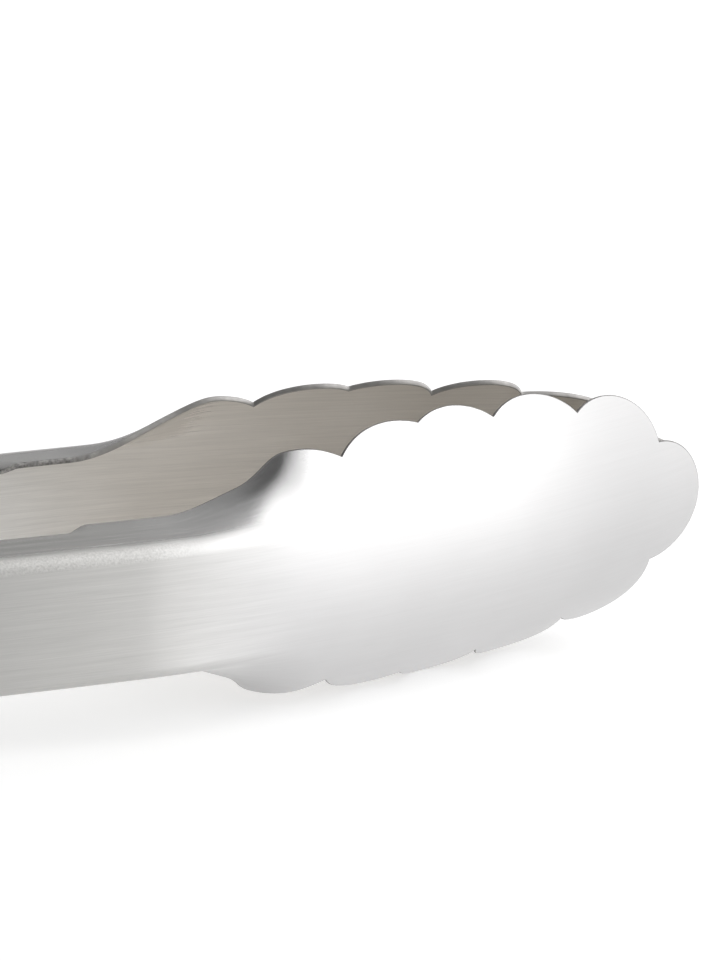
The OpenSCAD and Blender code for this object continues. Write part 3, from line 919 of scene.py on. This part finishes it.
class TONGS_OT_lock(bpy.types.Operator):
    """Fold the strap of the lock and punch its slots, its bar holes and the hanging hole"""

    bl_idname = "tongs.lock"
    bl_label = "Lock strap"
    bl_options = {"REGISTER", "UNDO"}

    # Columns across a cheek, and rows over its round end, its length, the bend, the tab and the tab's end
    COLUMNS, ROWS = 25, (14, 23, 35, 14, 15)
    # How far the bend runs on past its ends, how much of it is smooth, and the rows it is evened out over
    EASE, SMOOTH, EVENED = 2 * MM, 0.35, 7
    # Points round the slot, the turn that keeps them off its middle, and the heights it is cut between
    SLOT_POINTS, SLOT_TURN, SLOT_CUT = 64, 0.01, (2 * MM, 12 * MM)

    def profile(self, lock):
        """Place along the strap, half width and height of each row of the upper cheek."""
        front, bend, flat = lock.bar_x, self.EASE - lock.parted, -self.EASE - lock.closed
        rows = self.ROWS
        x = np.concatenate([front + lock.half * np.cos(np.linspace(0, math.pi / 2, rows[0])),
                            even(front, bend, rows[1]), even(bend, flat, rows[2])[:-1],
                            even(flat, -lock.tab_x, rows[3]),
                            -lock.tab_x - lock.tab * np.sin(even(0, math.pi / 2, rows[4]))])
        waist_x = -(lock.parted + lock.closed) / 2
        widen = smooth_share((waist_x - x) / (waist_x + lock.tab_x))
        half = lock.half + (lock.tab - lock.half) * widen
        for end, centre, radius in ((x > front, front, lock.half), (x < -lock.tab_x, -lock.tab_x, lock.tab)):
            half[end] = np.sqrt(np.maximum(0, radius**2 - (x[end] - centre) ** 2))
        # The bend from the cheek to the tab
        fall = lock.closed - lock.parted
        slope = smooth_share((-lock.parted + 0.6 * self.EASE - x) / (fall + 1.2 * self.EASE))
        straight = np.clip((-lock.parted - x) / fall, 0, 1)
        blend = self.SMOOTH * slope + (1 - self.SMOOTH) * straight
        rounds = np.convolve(np.pad(blend, self.EVENED // 2, mode="edge"),
                             np.ones(self.EVENED) / self.EVENED, mode="valid")
        high, low = lock.cheek_z - lock.strip / 2, lock.strip / 2
        return x, half, high + (low - high) * rounds

    def punch(self, obj, lock):
        """Cut the hanging hole, the bar's hole and the slot into the upper cheek."""
        cut(obj, cylinder("hole_cutter", lock.hole, 8 * lock.strip, (-lock.tab_x, 0, 0), 96))
        cut(obj, cylinder("bar_cutter", lock.bar, 4 * lock.cheek_z, (lock.bar_x, 0, 0), 32))
        # The slot's ends are half circles about the rivet, with the tab pushed in and pulled out
        turns = np.linspace(0, 2 * math.pi, self.SLOT_POINTS + 1)[:-1] + self.SLOT_TURN
        slot = [(SLIDE * (math.cos(t) > 0) + lock.slot * math.cos(t), lock.slot * math.sin(t)) for t in turns]
        cut(obj, plate("slot_cutter", slot, *self.SLOT_CUT))

    def execute(self, context):
        lock = context.scene.tongs_lock
        materials = finishes(context)
        x, half, z = self.profile(lock)

        def form(row, column):
            y = half[row] * np.sin(math.pi * (column / (self.COLUMNS - 1) - 0.5))
            return np.stack([x[row], y, z[row]], 1), np.stack([x[row], y], 1)

        cheeks = []
        for name in ("strap_upper", "strap_lower"):
            obj = formed_sheet(name, len(x), self.COLUMNS, form)
            face_outwards(obj, lambda place: Vector((0, 0, 1)))
            dress(obj, materials["Brushed sheet"], materials["Sheared edge"])
            modify(obj, "SOLIDIFY", thickness=lock.strip, offset=0.0, use_even_offset=True,
                   material_offset_rim=1)
            round_edges(obj, lock.strip / 8)
            self.punch(obj, lock)
            cheeks.append(obj)
        mirror(cheeks[1], 2)
        join(*cheeks)
        strap = named("lock_strip")
        smooth_shading(strap, 30)
        place_on_pin(strap)
        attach(strap, "lock")
        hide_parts("lock_strap")
        return {"FINISHED"}


class TONGS_OT_fasteners(bpy.types.Operator):
    """Finish the rivet, its washer, the bush and the lock bar"""

    bl_idname = "tongs.fasteners"
    bl_label = "Rivet, washer, bush and bar"
    bl_options = {"REGISTER", "UNDO"}

    def execute(self, context):
        bright = finishes(context)["Bright steel"]
        for node in ("hinge_rivet", "rivet_washer", "spring_bush", "lock_bar"):
            dress(frame["nodes"][node], bright)
        return {"FINISHED"}


class TONGS_OT_stage(bpy.types.Operator):
    """Lay the floor under the tongs and set the lights and the camera"""

    bl_idname = "tongs.stage"
    bl_label = "Stage"
    bl_options = {"REGISTER", "UNDO"}

    # Side of the floor, the camera's sensor in millimetres, and the nearest and farthest that it sees
    FLOOR, SENSOR, CLIP = 12.0, 36.0, (0.01, 50.0)
    # Each softbox: its two sides, its place, the way it faces, the way its first side runs, its brightness
    SOFTBOXES = {
        "front_box": ((2.01, 0.63), (1.1, -1.455, 0.285), (-1, 0, 0), (0, 1, 0), 1.035),
        "high_box": ((1.78, 0.67), (1.1, -1.34, 0.935), (-1, 0, 0), (0, 1, 0), 1.035),
        "right_box": ((1.35, 1.3), (1.1, 0.225, 0.62), (-1, 0, 0), (0, 1, 0), 0.82),
        "top_box": ((1.4, 1.4), (1.07, -0.52, 1.24), (0, 0, -1), (0.58, -0.81, 0), 1.0),
        "back_box": ((2.0, 1.9), (0.3, 0.8, 0.88), (0, -0.77, -0.64), (1, 0, 0), 0.16),
    }

    def floor(self, studio):
        """A floor through the foot of the rivet, tilted up to the lowest point of the arms in front of it."""
        heel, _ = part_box("hinge_rivet")
        arms = np.vstack([coordinates(bpy.data.objects[name]) for name in ARM_SHEETS])
        arms = arms[arms[:, 0] > 0]
        tilt = -math.atan(((arms[:, 2] - heel.z) / (arms[:, 0] - heel.x)).min())
        floor = add("floor", bpy.ops.mesh.primitive_grid_add, x_subdivisions=4, y_subdivisions=4,
                    size=self.FLOOR, location=heel, rotation=(0, tilt, 0))
        settle(floor)
        material, _, shader = new_material("Studio floor")
        set_up(shader, Base_Color=(*studio.floor, 1.0), Roughness=0.75, Specular_IOR_Level=0.1,
               Emission_Color=(1.0,) * 4, Emission_Strength=studio.floor_glow)
        dress(floor, material)

    def room(self, scene, studio):
        """Dim even light all round, and the softboxes."""
        world = bpy.data.worlds.new("Studio")
        world.use_nodes = True
        scene.world = world
        set_up(world.node_tree.nodes["Background"], Color=(1.0,) * 4, Strength=studio.room)
        for name, (size, place, toward, along, part) in self.SOFTBOXES.items():
            light = add(name, bpy.ops.object.light_add, type="AREA", location=place)
            light.data.shape = "RECTANGLE"
            light.data.size, light.data.size_y = size
            light.data.energy = part * studio.box * math.pi * size[0] * size[1]
            behind = -Vector(toward).normalized()
            upright = behind.cross(Vector(along)).normalized()
            axes = Matrix((upright.cross(behind), upright, behind))
            light.rotation_euler = axes.transposed().to_euler()
            light.visible_camera = False

    def camera(self, scene, studio):
        """The camera, turned, raised and rolled about its aim point."""
        yaw, drop, roll = studio.turn, studio.height, studio.roll
        right = Vector((math.cos(yaw), math.sin(yaw), 0))
        ahead = Vector((-math.sin(yaw) * math.cos(drop), math.cos(yaw) * math.cos(drop), -math.sin(drop)))
        up = right.cross(ahead)
        across = math.cos(roll) * right + math.sin(roll) * up
        upright = math.cos(roll) * up - math.sin(roll) * right
        camera = add("camera", bpy.ops.object.camera_add,
                     location=Vector(studio.aim) - studio.distance * ahead)
        camera.rotation_euler = Matrix((across, upright, -ahead)).transposed().to_euler()
        camera.data.lens = studio.lens
        camera.data.sensor_width = self.SENSOR
        camera.data.clip_start, camera.data.clip_end = self.CLIP
        scene.camera = camera

    def execute(self, context):
        scene = context.scene
        self.floor(scene.tongs_studio)
        self.room(scene, scene.tongs_studio)
        self.camera(scene, scene.tongs_studio)
        scene.view_settings.view_transform = "Standard"
        return {"FINISHED"}


class TONGS_PT_panel(bpy.types.Panel):
    """Sidebar panel with the sizes, the finishes and the pieces"""

    bl_label = "Kitchen tongs"
    bl_idname = "TONGS_PT_panel"
    bl_space_type = "VIEW_3D"
    bl_region_type = "UI"
    bl_category = "Tongs"

    def draw(self, context):
        for name, group in GROUPS.items():
            box = self.layout.box()
            box.label(text=name.removeprefix("tongs_").title())
            for key in group.__annotations__:
                box.prop(getattr(context.scene, name), key)
        for operator in STEPS:
            self.layout.operator(operator.bl_idname)


GROUPS = {
    "tongs_arm": TongsArmProperties,
    "tongs_head": TongsHeadProperties,
    "tongs_hinge": TongsHingeProperties,
    "tongs_lock": TongsLockProperties,
    "tongs_finish": TongsFinishProperties,
    "tongs_studio": TongsStudioProperties,
}
STEPS = (TONGS_OT_arms, TONGS_OT_spring, TONGS_OT_lock, TONGS_OT_fasteners, TONGS_OT_stage)
CLASSES = (*GROUPS.values(), *STEPS, TONGS_PT_panel)


def register():
    for cls in CLASSES:
        bpy.utils.register_class(cls)
    for name, group in GROUPS.items():
        setattr(bpy.types.Scene, name, PointerProperty(type=group))


def unregister():
    for name in GROUPS:
        delattr(bpy.types.Scene, name)
    for cls in reversed(CLASSES):
        bpy.utils.unregister_class(cls)


def main():
    """Build every piece."""
    register()
    bpy.ops.tongs.arms()
    bpy.ops.tongs.spring()
    bpy.ops.tongs.lock()
    bpy.ops.tongs.fasteners()
    bpy.ops.tongs.stage()


if __name__ == "__main__":
    main()
